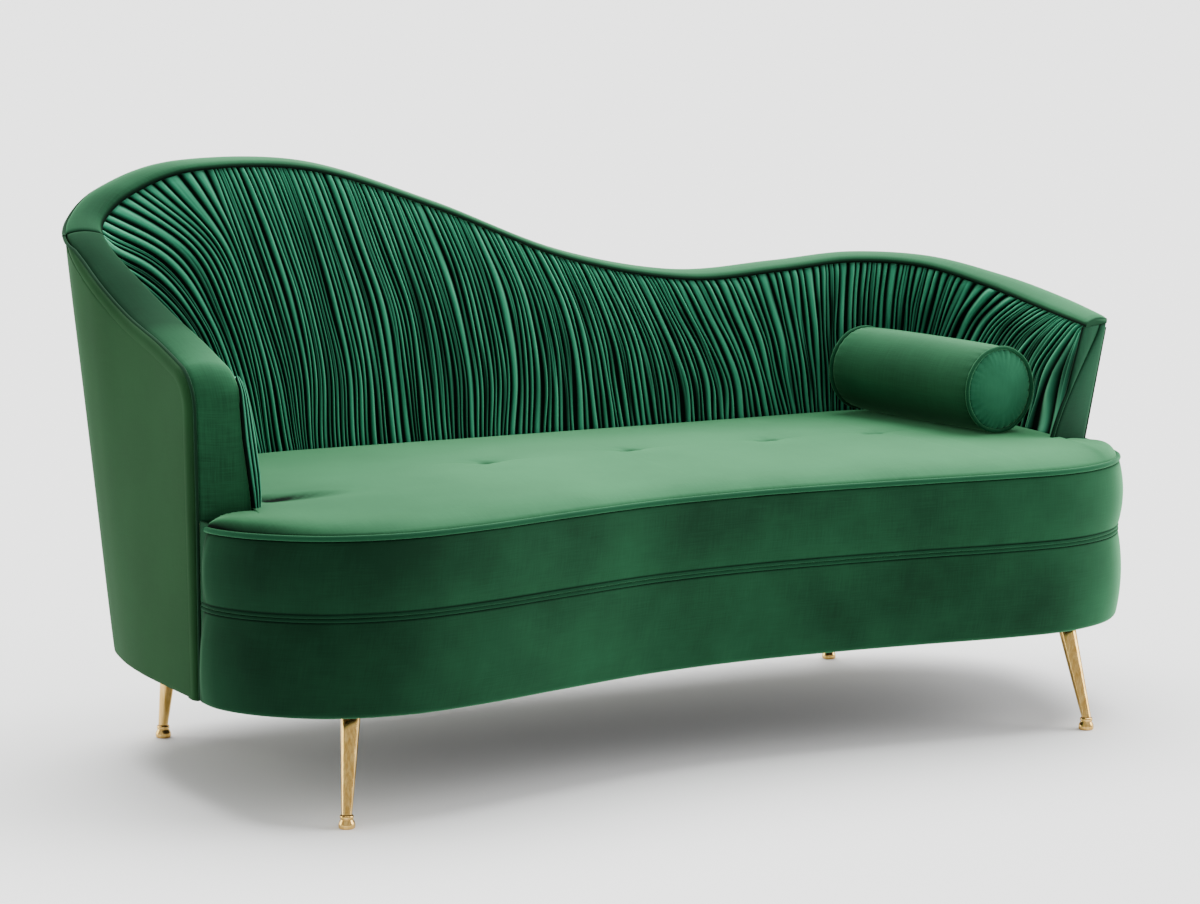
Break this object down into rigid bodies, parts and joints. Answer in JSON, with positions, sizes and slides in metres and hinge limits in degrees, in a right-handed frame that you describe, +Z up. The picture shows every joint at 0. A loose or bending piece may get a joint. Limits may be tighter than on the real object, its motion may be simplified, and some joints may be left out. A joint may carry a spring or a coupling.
{
  "type": "fainting couch",
  "caption": "Curved velvet fainting couch with a tall gathered back sweeping down to a low arm, a tufted seat, splayed legs and a loose round bolster.",
  "frame": {"origin": "on the floor, under the middle of the couch's bounding box", "axes": "+X along the couch's length towards the low right end as seen from the front, +Y from the front to the back, +Z up"},
  "size_m": [1.7638, 0.91, 0.9215],
  "materials": {
    "green_velvet": "emerald green velvet with a soft sheen",
    "piping_velvet": "the same velvet sewn over a cord",
    "leg_gold": "polished gold-coloured plating",
    "hardware_steel": "zinc-plated",
    "frame_wood": "bare plywood and softwood",
    "foam": "open-cell upholstery foam",
    "lining": "black non-woven lining",
    "tie_thread": "waxed twine with a covered button and a washer"
  },
  "bodies": {
    "couch": {"outer_back_shell": "green_velvet", "inner_back_gathered": "green_velvet", "back_top_border": "green_velvet", "left_arm_border": "green_velvet", "right_arm_front": "green_velvet", "left_arm_piping": "piping_velvet", "back_top_piping": "piping_velvet", "right_arm_piping": "piping_velvet", "lower_band": "green_velvet", "upper_band": "green_velvet", "seat_welt": "piping_velvet", "double_welt_upper": "piping_velvet", "double_welt_lower": "piping_velvet", "seat_top_pad": "green_velvet", "seat_foam": "foam", "seat_deck": "frame_wood", "foot_front_left": "leg_gold", "leg_front_left": "leg_gold", "leg_plate_front_left": "hardware_steel", "leg_stud_front_left": "hardware_steel", "corner_block_front_left": "frame_wood", "foot_front_right": "leg_gold", "leg_front_right": "leg_gold", "leg_plate_front_right": "hardware_steel", "leg_stud_front_right": "hardware_steel", "corner_block_front_right": "frame_wood", "foot_back_left": "leg_gold", "leg_back_left": "leg_gold", "leg_plate_back_left": "hardware_steel", "leg_stud_back_left": "hardware_steel", "corner_block_back_left": "frame_wood", "foot_back_right": "leg_gold", "leg_back_right": "leg_gold", "leg_plate_back_right": "hardware_steel", "leg_stud_back_right": "hardware_steel", "corner_block_back_right": "frame_wood", "base_front_rail": "frame_wood", "base_back_rail": "frame_wood", "cross_slat_left": "frame_wood", "cross_slat_middle": "frame_wood", "cross_slat_right": "frame_wood", "dust_cover": "lining", "back_top_rail": "frame_wood", "post_left_arm": "frame_wood", "post_left_corner": "frame_wood", "post_back_left": "frame_wood", "post_back_middle": "frame_wood", "post_back_right": "frame_wood", "post_right_corner": "frame_wood", "post_right_arm": "frame_wood", "tuft_tie_1": "tie_thread", "tuft_tie_2": "tie_thread", "tuft_tie_3": "tie_thread", "tuft_tie_4": "tie_thread"},
    "bolster": {"bolster_body": "green_velvet", "bolster_cap_front": "green_velvet", "bolster_welt_front": "piping_velvet", "bolster_cap_back": "green_velvet", "bolster_welt_back": "piping_velvet"}
  },
  "joints": [
    {"name": "bolster_lift", "type": "slide", "parent": "couch", "child": "bolster", "axis": [0, 0, 1], "range_m": [0, 0.3]}
  ]
}
